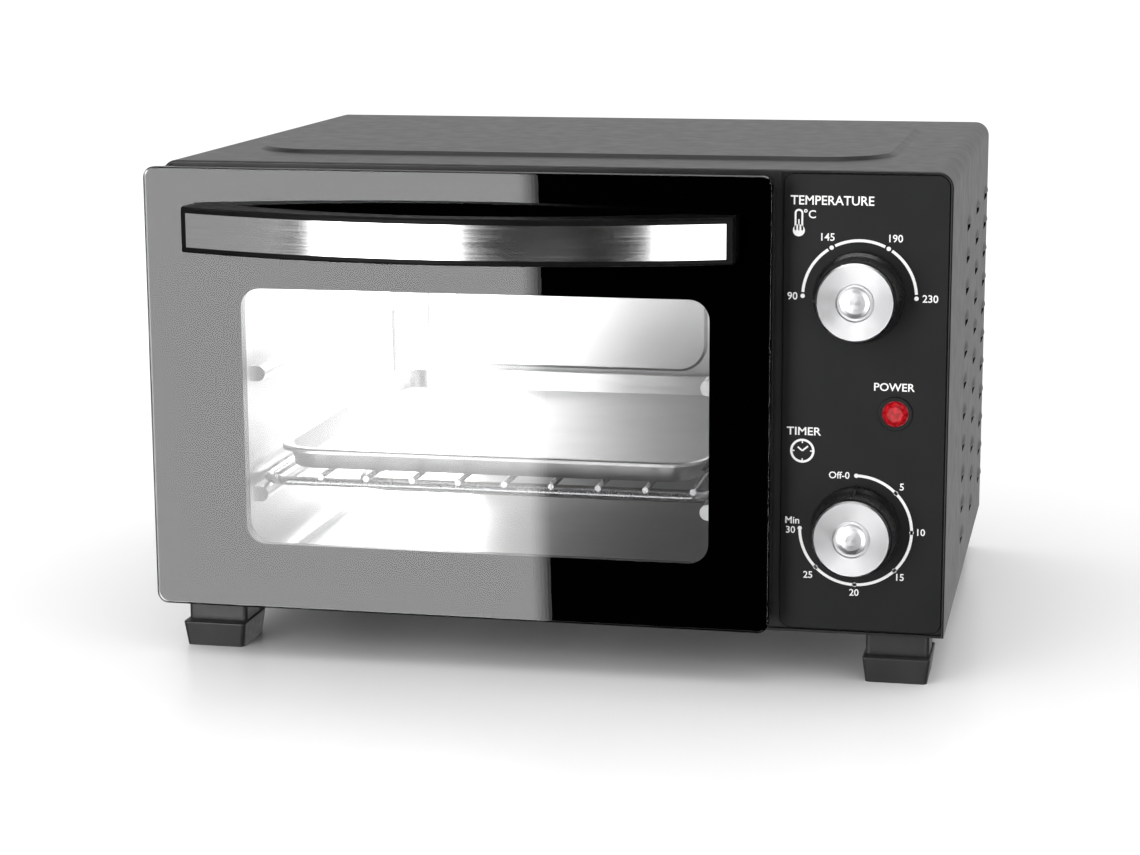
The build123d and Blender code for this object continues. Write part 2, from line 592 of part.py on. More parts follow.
def spring_anchor():
    """Small angle on the base plate that holds the fixed end of the spring."""
    foot = span(SHIELD_X + 1, 97, 112.2, 124, SHEET + GAP, SHEET + GAP + 1)
    wall = span(SHIELD_X + 1, 97, 112.2, 113.2, SHEET + GAP, 14)
    return foot + wall


def door_bumpers():
    """Rubber buttons that the closed door rests near."""
    return [along_y(4, DOOR_BACK + 0.2, FRAME_Y, x, 190) for x in (-166, 93)]


# ---- handle ----
def bow_band(inner, outer, border):
    """Piece of the handle's face between two radii, inside its border."""
    ring = along_z(outer, HANDLE_Z0 + border, HANDLE_Z1 - border, HANDLE_X, BOW_Y)
    ring = ring - along_z(inner, HANDLE_Z0, HANDLE_Z1, HANDLE_X, BOW_Y)
    x0, x1 = HANDLE_X0 + border, HANDLE_X1 - border
    return ring & span(x0, x1, HANDLE_FRONT - 2, GLASS_Y, HANDLE_Z0, HANDLE_Z1)


def handle_bar():
    """Moulded bow with a solid pad at each end and a recess for the metal strip."""
    inner_front = HANDLE_FRONT + HANDLE_THICK
    pad0, pad1 = HANDLE_X0 + HANDLE_PAD, HANDLE_X1 - HANDLE_PAD
    outline = [
        Line((HANDLE_X0, GLASS_Y), (HANDLE_X0, HANDLE_END)),
        ThreePointArc((HANDLE_X0, HANDLE_END), (HANDLE_X, HANDLE_FRONT), (HANDLE_X1, HANDLE_END)),
        Line((HANDLE_X1, HANDLE_END), (HANDLE_X1, GLASS_Y)),
        Line((HANDLE_X1, GLASS_Y), (pad1, GLASS_Y)),
        ThreePointArc((pad1, GLASS_Y), (HANDLE_X, inner_front), (pad0, GLASS_Y)),
        Line((pad0, GLASS_Y), (HANDLE_X0, GLASS_Y)),
    ]
    plane = Plane(origin=(0, 0, HANDLE_Z0))
    bow = extrude(plane * make_face(outline), amount=HANDLE_Z1 - HANDLE_Z0)
    rims = bow.edges().filter_by(GeomType.CIRCLE).filter_by(lambda e: e.radius > BOW_R - 1)
    bow = fillet(rims, 1.0)
    holes = [along_y(2, GLASS_Y - 8, GLASS_Y + 1, x, HANDLE_SCREW_Z) for x in HANDLE_SCREW_X]
    return bow - bow_band(BOW_R - STRIP_T, BOW_R + 5, STRIP_BORDER) - holes


def handle_strip():
    """Brushed metal strip inlaid in the face of the bow."""
    return bow_band(BOW_R - STRIP_T, BOW_R + STRIP_PROUD, STRIP_BORDER)


def handle_screws():
    """Pan-head screws from inside the door into the handle's pads."""
    head = GLASS_Y + GLASS_T + MASK_T + 0.8
    screws = []
    for x in HANDLE_SCREW_X:
        screw = along_y(2, GLASS_Y - 7.5, head, x, HANDLE_SCREW_Z)
        screw = screw + along_y(4, head, head + 2.6, x, HANDLE_SCREW_Z)
        slots = [span(x - 2.4, x + 2.4, head + 1.6, head + 3, HANDLE_SCREW_Z - 0.5, HANDLE_SCREW_Z + 0.5)]
        slots.append(span(x - 0.5, x + 0.5, head + 1.6, head + 3, HANDLE_SCREW_Z - 2.4, HANDLE_SCREW_Z + 2.4))
        screws.append(screw - slots)
    return screws


def handle_grommets():
    """Heat-proof grommets that keep the screws off the glass."""
    back = GLASS_Y + GLASS_T + MASK_T
    rings = []
    for x in HANDLE_SCREW_X:
        ring = along_y(3, GLASS_Y, back, x, HANDLE_SCREW_Z) + along_y(5.5, back, back + 0.8, x, HANDLE_SCREW_Z)
        rings.append(ring - along_y(2 + RUNNING_GAP, GLASS_Y - 1, back + 2, x, HANDLE_SCREW_Z))
    return rings


# ---- rack and tray ----
def wire_rack():
    """Welded rack: a round-cornered loop with wires laid on it from front to back."""
    z_wire = TRAY_Z0 - SLIDE_GAP - RACK_WIRE_R
    z_loop = z_wire - RACK_WIRE_R - RACK_FRAME_R + 0.6
    x0, x1 = CAVITY_X - RACK_HALF_W, CAVITY_X + RACK_HALF_W
    middle = (RACK_Y0 + RACK_Y1) / 2
    loop = Plane(origin=(CAVITY_X, middle, z_loop)) * RectangleRounded(x1 - x0, RACK_Y1 - RACK_Y0, 12)
    path = loop.wire()
    rack = sweep(Plane(origin=path @ 0, z_dir=path % 0) * Circle(RACK_FRAME_R), path)
    rack = rack + along_x(RACK_FRAME_R, x0, x1, middle, z_loop)
    wires = []
    for index in range(RACK_WIRES):
        x = CAVITY_X + (index - (RACK_WIRES - 1) / 2) * RACK_PITCH
        wires.append(along_y(RACK_WIRE_R, RACK_Y0 - 2.5, RACK_Y1 + 2.5, x, z_wire))
    return rack + wires


def baking_tray():
    """Drawn tray with sloping walls, round corners and a rolled rim."""
    y = TRAY_Y0 + TRAY_D / 2
    floor = Plane(origin=(CAVITY_X, y, TRAY_Z0))
    rim_w, wall_slope, corner = 3.0, 3.0, 19.0
    top_w, top_d = TRAY_W - 2 * rim_w, TRAY_D - 2 * rim_w
    height = TRAY_Z1 - TRAY_Z0

    def bowl(plane, shrink, tall):
        foot_w, foot_d = top_w - 2 * wall_slope - shrink, top_d - 2 * wall_slope - shrink
        foot = plane * RectangleRounded(foot_w, foot_d, corner - 6)
        head = plane.offset(tall) * RectangleRounded(top_w - shrink, top_d - shrink, corner - 3)
        return loft([foot, head])

    rim = plate_block(
        CAVITY_X - TRAY_W / 2, CAVITY_X + TRAY_W / 2, TRAY_Y0, TRAY_Y0 + TRAY_D, TRAY_Z1 - 2.2, TRAY_Z1, corner
    )
    rim = fillet(rim.edges().group_by(Axis.Z)[-1], 0.9)
    under = plate_block(
        CAVITY_X - TRAY_W / 2 + TRAY_T, CAVITY_X + TRAY_W / 2 - TRAY_T,
        TRAY_Y0 + TRAY_T, TRAY_Y0 + TRAY_D - TRAY_T,
        TRAY_Z1 - 3, TRAY_Z1 - TRAY_T, corner - TRAY_T
    )
    return (rim - under) + bowl(floor, 0, height) - bowl(floor.offset(TRAY_T), 2 * TRAY_T, height)


# ---- feet, rear fittings and wiring ----
def foot(x, y):
    """Moulded foot: a tapered block under a set-back neck, hollow for its screw."""
    neck = plate_block(x - 14, x + 14, y - 10, y + 10, -11, 0, 2)
    base = Plane(origin=(x, y, -FOOT_H))
    sole = base * RectangleRounded(27, 29, 2)
    shoulder = base.offset(FOOT_H - 10.5) * RectangleRounded(30, 32, 2)
    block = loft([sole, shoulder])
    block = fillet(block.edges().group_by(Axis.Z)[-1], 0.7)
    body = neck + block
    return body - along_z(5.2, -FOOT_H - 1, -8, x, y) - along_z(2.1, -9, 1, x, y)


def foot_screws():
    """Screws through the feet and the base plate."""
    screws = []
    for x in FOOT_X:
        for y in FOOT_Y:
            screws.append(along_z(2, -8, 6, x, y) + along_z(4, -10.6, -8, x, y))
    return screws


def foot_nuts():
    """Hexagon nuts on the foot screws, above the base plate."""
    nuts = []
    for x in FOOT_X:
        for y in FOOT_Y:
            top = Plane(origin=(x, y, SHEET))
            nuts.append(extrude(top * (RegularPolygon(4, 6) - Circle(2 + RUNNING_GAP)), amount=3))
    return nuts


def rear_spacers():
    """Two stubs that hold the oven off the wall behind it."""
    stubs = []
    for x, z in SPACERS:
        profile = [(0, 0), (11, 0), (9, SPACER_L - 1), (8, SPACER_L), (0, SPACER_L)]
        stub = Pos(x, HOUSING_D, z) * Rot(180, 0, 0) * turned(profile)
        stubs.append(stub)
    return stubs


def cord_gland():
    """Strain-relief bush in the back cover, with the bore that a mains cord would take."""
    x, z = GLAND
    profile = [(0, 0), (9.5, 0), (9.5, 2.2), (6.6, 3), (5.4, 11), (0, 11)]
    sleeve = Pos(x, HOUSING_D, z) * Rot(180, 0, 0) * turned(profile)
    stem = along_y(6.4, HOUSING_D - 5, HOUSING_D, x, z)
    return sleeve + stem - along_y(3.6, HOUSING_D - 6, HOUSING_D + 12, x, z)


def back_screws():
    """Pan-head screws round the back cover."""
    screws = []
    for x, z in BACK_SCREWS:
        screw = along_y(1.6, HOUSING_D - 7, HOUSING_D, x, z)
        head = along_y(3.4, HOUSING_D, HOUSING_D + 1.8, x, z)
        cross = [span(x - 2, x + 2, HOUSING_D + 0.9, HOUSING_D + 3, z - 0.4, z + 0.4)]
        cross.append(span(x - 0.4, x + 0.4, HOUSING_D + 0.9, HOUSING_D + 3, z - 2, z + 2))
        screws.append(screw + (head - cross))
    return screws


def terminal_block():
    """Three-pole block on the base plate near the gland."""
    body = span(112, 148, 222, 236, SHEET + GAP, 18)
    wells = [along_z(2.4, 12, 20, x, 229) for x in (118, 130, 142)]
    bores = [along_y(1.8, 221, 237, x, 8) for x in (118, 130, 142)]
    return body - wells - bores


def wiring():
    """Insulated leads between the terminal block, the thermostat, the timer and the lamp."""
    leads = [
        bent_rod([(118, 221, 8), (118, 190, 8), (118, 170, 60), (128, 80, 156), (128, 32, 156)], 12, 1.3),
        bent_rod([(130, 221, 8), (130, 160, 8), (150, 90, 40), (150, 41, 64)], 12, 1.3),
        bent_rod([(146, 32, 156), (146, 60, 156), (164, 66, 110), (150, 60, 78), (150, 41, 67)], 8, 1.3),
        bent_rod([(142, 221, 8), (160, 190, 20), (160, 80, 60), (150, 50, 98.8), (150, 26, 98.8)], 10, 1.3),
    ]
    return leads


# ---- writing ----
def write_parts():
    """Every piece, one STEP file each, moved to the row's origin."""
    parts = {
        "housing": housing(),
        "base_plate": base_plate(),
        "back_cover": back_cover(),
        "front_frame": front_frame(),
        "control_panel": control_panel(),
        "cavity_liner": cavity_liner(),
        "cavity_back": cavity_back(),
        "heat_shield": heat_shield(),
        "crumb_tray": crumb_tray(),
        "upper_element": heating_element(UPPER_ELEMENT_Z),
        "lower_element": heating_element(LOWER_ELEMENT_Z),
        "element_bushings": element_bushings(),
        "element_terminals": element_terminals(),
        "thermostat_body": thermostat_body(),
        "thermostat_shaft": dial_shaft(TEMPERATURE_Z),
        "temperature_knob": knob(TEMPERATURE_Z, -90),
        "temperature_cap": knob_cap(TEMPERATURE_Z),
        "timer_body": timer_body(),
        "timer_bell": timer_bell(),
        "timer_shaft": dial_shaft(TIMER_Z),
        "timer_knob": knob(TIMER_Z, 0),
        "timer_cap": knob_cap(TIMER_Z),
        "lamp_lens": lamp_lens(),
        "lamp_bezel": lamp_bezel(),
        "lamp_holder": lamp_holder(),
        "door_glass": door_glass(),
        "door_mask": door_mask(),
        "door_frame": door_frame(),
        "door_arm": door_arm(),
        "arm_rivets": arm_rivets(),
        "hinge_pins": hinge_pins(),
        "hinge_brackets": hinge_brackets(),
        "door_spring": door_spring(),
        "spring_anchor": spring_anchor(),
        "door_bumpers": door_bumpers(),
        "handle_bar": handle_bar(),
        "handle_strip": handle_strip(),
        "handle_screws": handle_screws(),
        "handle_grommets": handle_grommets(),
        "wire_rack": wire_rack(),
        "baking_tray": baking_tray(),
        "foot_screws": foot_screws(),
        "foot_nuts": foot_nuts(),
        "rear_spacers": rear_spacers(),
        "cord_gland": cord_gland(),
        "back_screws": back_screws(),
        "terminal_block": terminal_block(),
        "wiring": wiring(),
    }
    for x, side in zip(FOOT_X, ("left", "right")):
        for y, end in zip(FOOT_Y, ("front", "rear")):
            parts[f"foot_{end}_{side}"] = foot(x, y)

    os.makedirs("parts", exist_ok=True)
    for name, shape in parts.items():
        pieces = shape if isinstance(shape, list) else [shape]
        placed = [TO_ROW_ORIGIN * piece for piece in pieces]
        export_step(placed[0] if len(placed) == 1 else Compound(children=placed), f"parts/{name}.step")


write_parts()
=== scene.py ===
import json
import math

import bmesh
import bpy
from mathutils import Matrix, Vector


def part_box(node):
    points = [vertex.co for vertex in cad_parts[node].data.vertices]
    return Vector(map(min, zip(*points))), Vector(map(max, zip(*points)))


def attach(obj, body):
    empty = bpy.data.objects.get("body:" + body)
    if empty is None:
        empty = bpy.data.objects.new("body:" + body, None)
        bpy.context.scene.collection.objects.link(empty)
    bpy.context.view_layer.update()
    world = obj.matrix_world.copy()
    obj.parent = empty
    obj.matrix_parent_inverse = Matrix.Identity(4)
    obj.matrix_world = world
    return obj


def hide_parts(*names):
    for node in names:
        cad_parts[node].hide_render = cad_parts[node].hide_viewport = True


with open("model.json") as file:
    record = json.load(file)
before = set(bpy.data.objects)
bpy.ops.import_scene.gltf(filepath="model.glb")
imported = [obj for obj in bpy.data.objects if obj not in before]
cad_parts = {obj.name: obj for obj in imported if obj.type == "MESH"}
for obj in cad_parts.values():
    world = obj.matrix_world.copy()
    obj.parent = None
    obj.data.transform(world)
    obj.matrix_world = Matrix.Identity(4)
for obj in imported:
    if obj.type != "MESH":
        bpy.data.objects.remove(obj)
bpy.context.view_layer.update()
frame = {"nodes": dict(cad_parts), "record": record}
nodes = frame["nodes"]

MM = 0.001

# Measures below are in millimetres about the middle of the housing's front edge, at its underside: x to the
# right, y into the oven, z up. at() turns them into the row frame.
housing_low, housing_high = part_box("housing")
HOUSING_ORIGIN = Vector(((housing_low.x + housing_high.x) / 2, housing_low.y, housing_low.z))


def at(x, y, z):
    return HOUSING_ORIGIN + Vector((x, y, z)) * MM


# ---- camera ----
CAMERA_PLACE = (248.2, -1119.4, 312.6)
CAMERA_TURN = (11.994, 11.119, -0.257)     # yaw to the left, pitch down, roll, in degrees
CAMERA_LENS = 83.43
SENSOR_WIDTH = 36.0


def make_camera():
    yaw, pitch, roll = (math.radians(a) for a in CAMERA_TURN)
    forward = Vector((-math.sin(yaw) * math.cos(pitch), math.cos(yaw) * math.cos(pitch), -math.sin(pitch)))
    level = Vector((math.cos(yaw), math.sin(yaw), 0))
    above = level.cross(forward)
    right = math.cos(roll) * level + math.sin(roll) * above
    up = math.cos(roll) * above - math.sin(roll) * level
    data = bpy.data.cameras.new("camera")
    data.sensor_width = SENSOR_WIDTH
    data.lens = CAMERA_LENS
    data.clip_start, data.clip_end = 0.02, 60
    camera = bpy.data.objects.new("camera", data)
    turn = Matrix((right, up, -forward)).transposed().to_4x4()
    camera.matrix_world = Matrix.Translation(at(*CAMERA_PLACE)) @ turn
    bpy.context.scene.collection.objects.link(camera)
    bpy.context.scene.camera = camera


# ---- material nodes ----
class Shade:
    """One material's node tree, with short calls for the nodes it uses."""

    def __init__(self, name, colour=(0.5, 0.5, 0.5), metal=0.0, rough=0.5, **sockets):
        self.material = bpy.data.materials.new(name)
        self.material.use_nodes = True
        self.tree = self.material.node_tree
        self.shader = self.tree.nodes["Principled BSDF"]
        self.output = self.tree.nodes["Material Output"]
        self.set("Base Color", (*colour, 1))
        self.set("Metallic", metal)
        self.set("Roughness", rough)
        for key, value in sockets.items():
            self.set(key.replace("_", " "), value)
        self.normal = None

    def set(self, socket, value):
        self.shader.inputs[socket].default_value = value

    def node(self, kind, **settings):
        made = self.tree.nodes.new(kind)
        for key, value in settings.items():
            setattr(made, key, value)
        return made

    def link(self, source, target):
        self.tree.links.new(source, target)

    def place(self, stretch=(1, 1, 1), centre=None):
        """Object coordinates, moved so that centre is zero, then stretched."""
        source = self.node("ShaderNodeTexCoord").outputs["Object"]
        mapping = self.node("ShaderNodeMapping")
        mapping.inputs["Scale"].default_value = stretch
        if centre is not None:
            mapping.inputs["Location"].default_value = [-c * s for c, s in zip(centre, stretch)]
        self.link(source, mapping.inputs["Vector"])
        return mapping.outputs["Vector"]

    def noise(self, size_mm, detail=3.0, stretch=(1, 1, 1), roughness=0.5):
        made = self.node("ShaderNodeTexNoise")
        made.inputs["Scale"].default_value = 1 / (size_mm * MM)
        made.inputs["Detail"].default_value = detail
        made.inputs["Roughness"].default_value = roughness
        self.link(self.place(stretch), made.inputs["Vector"])
        return made.outputs["Fac"]

    def cells(self, size_mm, stretch=(1, 1, 1)):
        made = self.node("ShaderNodeTexVoronoi")
        made.inputs["Scale"].default_value = 1 / (size_mm * MM)
        self.link(self.place(stretch), made.inputs["Vector"])
        return made.outputs

    def math(self, operation, first, second=None):
        """Math node; each input is a number or a socket."""
        made = self.node("ShaderNodeMath", operation=operation)
        for slot, value in zip(made.inputs, (first, second)):
            if isinstance(value, (int, float)):
                slot.default_value = value
            elif value is not None:
                self.link(value, slot)
        return made.outputs[0]

    def inside_box(self, low, high, soft_mm):
        """1 inside an upright rectangle between corners in the row frame, seen from ahead, 0 outside."""
        split = self.node("ShaderNodeSeparateXYZ")
        self.link(self.node("ShaderNodeTexCoord").outputs["Object"], split.inputs[0])
        past = []
        for axis, name in ((0, "X"), (2, "Z")):
            middle, half = (low[axis] + high[axis]) / 2, (high[axis] - low[axis]) / 2
            away = self.math("ABSOLUTE", self.math("SUBTRACT", split.outputs[name], middle))
            past.append(self.math("SUBTRACT", away, half))
        soft = soft_mm * MM
        return self.spread(self.math("MAXIMUM", *past), 1, 0, -soft, soft)

    def spread(self, value, low, high, from_low=0.3, from_high=0.7):
        """Maps a value from one range to the range low to high, and holds it there."""
        made = self.node("ShaderNodeMapRange")
        made.inputs["From Min"].default_value = from_low
        made.inputs["From Max"].default_value = from_high
        made.inputs["To Min"].default_value = low
        made.inputs["To Max"].default_value = high
        self.link(value, made.inputs["Value"])
        return made.outputs["Result"]

    def blend_colours(self, value, first, second, low=0.35, high=0.65):
        ramp = self.node("ShaderNodeValToRGB")
        ramp.color_ramp.elements[0].position = low
        ramp.color_ramp.elements[0].color = (*first, 1)
        ramp.color_ramp.elements[1].position = high
        ramp.color_ramp.elements[1].color = (*second, 1)
        self.link(value, ramp.inputs["Fac"])
        return ramp.outputs["Color"]

    def colour(self, value, first, second, low=0.35, high=0.65):
        self.link(self.blend_colours(value, first, second, low, high), self.shader.inputs["Base Color"])

    def roughness(self, value, low, high):
        self.link(self.spread(value, low, high), self.shader.inputs["Roughness"])

    def bump(self, value, height_mm, strength=1.0):
        made = self.node("ShaderNodeBump")
        made.inputs["Distance"].default_value = height_mm * MM
        made.inputs["Strength"].default_value = strength
        self.link(value, made.inputs["Height"])
        if self.normal is not None:
            self.link(self.normal, made.inputs["Normal"])
        self.normal = made.outputs["Normal"]
        self.link(self.normal, self.shader.inputs["Normal"])


def powder_coat(name, dark, light, rough, specular):
    """Baked enamel on sheet: fine orange peel, slightly uneven gloss."""
    shade = Shade(name, dark, rough=rough[0], Specular_IOR_Level=specular)
    shade.colour(shade.noise(22, 4), dark, light)
    shade.roughness(shade.noise(9, 5), *rough)
    shade.bump(shade.noise(0.9, 2), 0.006)
    return shade.material


def sheet_metal(name, dark, light, rough, grain_mm, stretch, bump_mm, spangle_mm=None):
    """Bare sheet: rolling grain along one way, blotches of reflectance, and spangle if it is galvanised."""
    shade = Shade(name, light, metal=1.0, rough=rough[0])
    blotch = shade.noise(35, 4)
    if spangle_mm:
        blotch = shade.cells(spangle_mm)["Color"]
    shade.colour(blotch, dark, light, 0.2, 0.8)
    shade.roughness(shade.noise(grain_mm, 4, stretch), *rough)
    shade.bump(shade.noise(grain_mm, 3, stretch), bump_mm)
    shade.bump(shade.noise(48, 1), 0.12, 0.5)
    return shade.material


def turned_metal(name, centre, colour_dark, colour_light):
    """Spun disc: fine concentric rings about the dial's own axis."""
    shade = Shade(name, colour_light, metal=1.0, rough=0.36, Anisotropic=0.35)
    vector = shade.place(centre=centre)
    split = shade.node("ShaderNodeSeparateXYZ")
    shade.link(vector, split.inputs[0])
    flat = shade.node("ShaderNodeCombineXYZ")
    shade.link(split.outputs["X"], flat.inputs["X"])
    shade.link(split.outputs["Z"], flat.inputs["Y"])
    radius = shade.node("ShaderNodeVectorMath", operation="LENGTH")
    shade.link(flat.outputs[0], radius.inputs[0])
    rings = shade.node("ShaderNodeTexNoise", noise_dimensions="1D")
    rings.inputs["Scale"].default_value = 5200
    rings.inputs["Detail"].default_value = 3
    shade.link(radius.outputs["Value"], rings.inputs["W"])
    shade.colour(rings.outputs["Fac"], colour_dark, colour_light)
    shade.roughness(shade.noise(6, 3), 0.34, 0.42)
    shade.bump(rings.outputs["Fac"], 0.004)
    tangent = shade.node("ShaderNodeVectorMath", operation="CROSS_PRODUCT")
    tangent.inputs[1].default_value = (0, 1, 0)
    shade.link(vector, tangent.inputs[0])
    normalise = shade.node("ShaderNodeVectorMath", operation="NORMALIZE")
    shade.link(tangent.outputs[0], normalise.inputs[0])
    shade.link(normalise.outputs[0], shade.shader.inputs["Tangent"])
    return shade.material


def brushed_metal(name):
    """Strip brushed along its length, with long scratches and slow streaks."""
    shade = Shade(name, (0.72, 0.72, 0.72), metal=1.0, rough=0.3)
    streaks = shade.noise(0.5, 4, (0.006, 0.05, 1))
    shade.colour(streaks, (0.66, 0.66, 0.66), (0.71, 0.71, 0.71))
    shade.roughness(shade.noise(0.8, 3, (0.02, 0.05, 1)), 0.12, 0.17)
    shade.bump(streaks, 0.003)
    return shade.material


def moulded_plastic(name, dark, light, rough, grain_mm=0.35, grain_height=0.004, specular=0.5):
    """Injection-moulded plastic: fine spark-eroded texture and faint flow marks."""
    shade = Shade(name, dark, rough=rough[0], Specular_IOR_Level=specular)
    shade.colour(shade.noise(14, 3, (1, 1, 0.4)), dark, light)
    shade.roughness(shade.noise(3.5, 4), *rough)
    shade.bump(shade.noise(grain_mm, 2), grain_height)
    return shade.material


def plated(name, colour_dark, colour_light, rough, scratch_height=0.008):
    """Bright plating with faint clouding and hairline scratches."""
    shade = Shade(name, colour_light, metal=1.0, rough=rough[0])
    shade.colour(shade.noise(4, 4), colour_dark, colour_light)
    shade.roughness(shade.noise(1.6, 4), *rough)
    shade.bump(shade.noise(0.6, 3, (1, 0.25, 1)), scratch_height)
    return shade.material


def sheathed_steel(name):
    """Heating element: dull oxidised tube with straw and blue tints."""
    shade = Shade(name, (0.3, 0.28, 0.26), metal=1.0, rough=0.42)
    shade.colour(shade.noise(16, 4), (0.2, 0.17, 0.15), (0.38, 0.36, 0.35))
    shade.roughness(shade.noise(2.5, 5), 0.36, 0.55)
    shade.bump(shade.noise(0.5, 3), 0.02)
    return shade.material


def fired_ceramic(name):
    shade = Shade(name, (0.8, 0.78, 0.73), rough=0.5)
    specks = shade.noise(0.7, 5, roughness=0.7)
    shade.colour(specks, (0.66, 0.63, 0.57), (0.84, 0.82, 0.78), 0.28, 0.5)
    shade.roughness(shade.noise(2, 3), 0.42, 0.6)
    shade.bump(shade.noise(0.3, 3), 0.02)
    return shade.material


def soft_rubber(name, dark, light):
    shade = Shade(name, dark, rough=0.7, Specular_IOR_Level=0.35)
    shade.colour(shade.noise(6, 4), dark, light)
    shade.roughness(shade.noise(2, 4), 0.6, 0.8)
    shade.bump(shade.noise(0.25, 3), 0.02)
    return shade.material


def braided_sleeve(name):
    """Glass-fibre sleeving on the leads: a fine diagonal braid."""
    shade = Shade(name, (0.75, 0.72, 0.66), rough=0.75)
    braid = shade.cells(0.55, stretch=(1, 0.6, 1))["Distance"]
    shade.colour(braid, (0.45, 0.42, 0.37), (0.8, 0.78, 0.72), 0.1, 0.7)
    shade.roughness(shade.noise(3, 3), 0.65, 0.85)
    shade.bump(braid, 0.12)
    return shade.material


def red_lens(name):
    """Tinted faceted lens with a moulded-in scatter."""
    shade = Shade(name, (0.42, 0.006, 0.012), rough=0.12, Coat_Weight=1.0, Coat_Roughness=0.04)
    shade.colour(shade.noise(1.7, 3), (0.25, 0.002, 0.006), (0.6, 0.012, 0.02))
    shade.roughness(shade.noise(0.9, 3), 0.1, 0.2)
    shade.bump(shade.noise(0.4, 2), 0.01)
    return shade.material


def screen_print(name, dark, light, rough, specular=0.5):
    """Ink laid through a screen: a faint weave of the mesh and small pinholes."""
    shade = Shade(name, light, rough=rough[0], Specular_IOR_Level=specular)
    shade.colour(shade.noise(0.5, 3), dark, light)
    shade.roughness(shade.noise(3, 3), *rough)
    shade.bump(shade.cells(0.18)["Distance"], 0.004)
    return shade.material


GLASS_SHADED_RIM = 0.6              # painted shade: width of a near-black band along the pane's rim, in place of a bright edge line


def window_glass(name):
    """Clear pane. Rays from the lamps pass straight through it, so that it casts no dark shadow. Its rim is
    painted near-black, painted shade in place of the bright line that light through the edges gives.
    """
    shade = Shade(name, (1, 1, 1), rough=0.0, Transmission_Weight=1.0, IOR=1.5)
    tint = shade.blend_colours(shade.noise(60, 2), (0.975, 0.985, 0.98), (0.992, 0.996, 0.994))
    low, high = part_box("door_glass")
    rim = Vector((1, 0, 1)) * GLASS_SHADED_RIM * MM
    # painted shade: near-black colour in the band along the rim, the tinted glass colour inside it
    edge = shade.node("ShaderNodeMixRGB")
    edge.inputs["Color1"].default_value = (0.004, 0.006, 0.005, 1)
    shade.link(shade.inside_box(low + rim, high - rim, 0.3), edge.inputs["Fac"])
    shade.link(tint, edge.inputs["Color2"])
    shade.link(edge.outputs["Color"], shade.shader.inputs["Base Color"])
    path = shade.node("ShaderNodeLightPath")
    clear = shade.node("ShaderNodeBsdfTransparent")
    mix = shade.node("ShaderNodeMixShader")
    shade.link(path.outputs["Is Shadow Ray"], mix.inputs["Fac"])
    shade.link(shade.shader.outputs["BSDF"], mix.inputs[1])
    shade.link(clear.outputs["BSDF"], mix.inputs[2])
    shade.link(mix.outputs["Shader"], shade.output.inputs["Surface"])
    return shade.material


def grey(level):
    return (level, level, level)


def axis_of(node):
    low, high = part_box(node)
    return (low + high) / 2


SLOT_MATERIALS = {
    "black_enamel": powder_coat("black_enamel", grey(0.008), grey(0.012), (0.3, 0.36), 0.5),
    "panel_black": powder_coat(
        "panel_black", (0.007, 0.0075, 0.0075), (0.009, 0.0095, 0.0095), (0.42, 0.5), 0.25
    ),
    "bright_sheet": sheet_metal("bright_sheet", grey(0.6), grey(0.7), (0.3, 0.4), 1.2, (0.05, 1, 1), 0.003),
    "zinc_sheet": sheet_metal(
        "zinc_sheet", (0.45, 0.46, 0.47), (0.62, 0.63, 0.64), (0.34, 0.5), 1.5, (1, 0.1, 1), 0.015, 9
    ),
    "element_steel": sheathed_steel("element_steel"),
    "plated_steel": plated("plated_steel", (0.52, 0.51, 0.48), (0.68, 0.67, 0.64), (0.22, 0.36)),
    "white_ceramic": fired_ceramic("white_ceramic"),
    "knob_black": moulded_plastic("knob_black", grey(0.008), grey(0.013), (0.25, 0.36)),
    "lamp_red": red_lens("lamp_red"),
    "clear_glass": window_glass("clear_glass"),
    "black_print": screen_print("black_print", grey(0.0008), grey(0.0015), (0.8, 0.9), 0.0),
    "black_rubber": soft_rubber("black_rubber", grey(0.01), grey(0.02)),
    "handle_black": moulded_plastic("handle_black", grey(0.004), grey(0.006), (0.3, 0.38), 0.35, 0.001, 0.05),
    "handle_steel": brushed_metal("handle_steel"),
    "chromed_wire": plated("chromed_wire", (0.5, 0.5, 0.51), (0.6, 0.6, 0.61), (0.2, 0.3)),
    "foot_black": moulded_plastic("foot_black", grey(0.02), grey(0.028), (0.38, 0.5), 0.5, 0.01),
    "lead_insulation": braided_sleeve("lead_insulation"),
}
CAP_MATERIALS = {
    cap: turned_metal(f"{cap}_spun", axis_of(cap), (0.8, 0.8, 0.81), (0.9, 0.9, 0.91))
    for cap in ("temperature_cap", "timer_cap")
}


def dress_cad_nodes():
    """Gives every carried-over node the finish of its slot in the record."""
    slot_of = {part["node"]: part["material_slot"] for part in frame["record"]["subparts"]}
    for name, node in nodes.items():
        finish = CAP_MATERIALS.get(name) or SLOT_MATERIALS[slot_of[name]]
        node.data.materials.clear()
        node.data.materials.append(finish)


# ---- panel prints ----
PRINT_Y = -0.04              # face of the ink, just ahead of the panel
PRINT_T = 0.05
DIAL_X = 137.0
TEMPERATURE_Z = 149.0
TIMER_Z = 46.7
SCALE_R = 24.3
ARC_HALF_W = 0.62
DOT_R = 0.95


def mesh_object(name, bm, material, smooth=False):
    data = bpy.data.meshes.new(name)
    bmesh.ops.recalc_face_normals(bm, faces=bm.faces)
    bm.to_mesh(data)
    bm.free()
    for polygon in data.polygons:
        polygon.use_smooth = smooth
    data.materials.append(material)
    made = bpy.data.objects.new(name, data)
    bpy.context.scene.collection.objects.link(made)
    return made


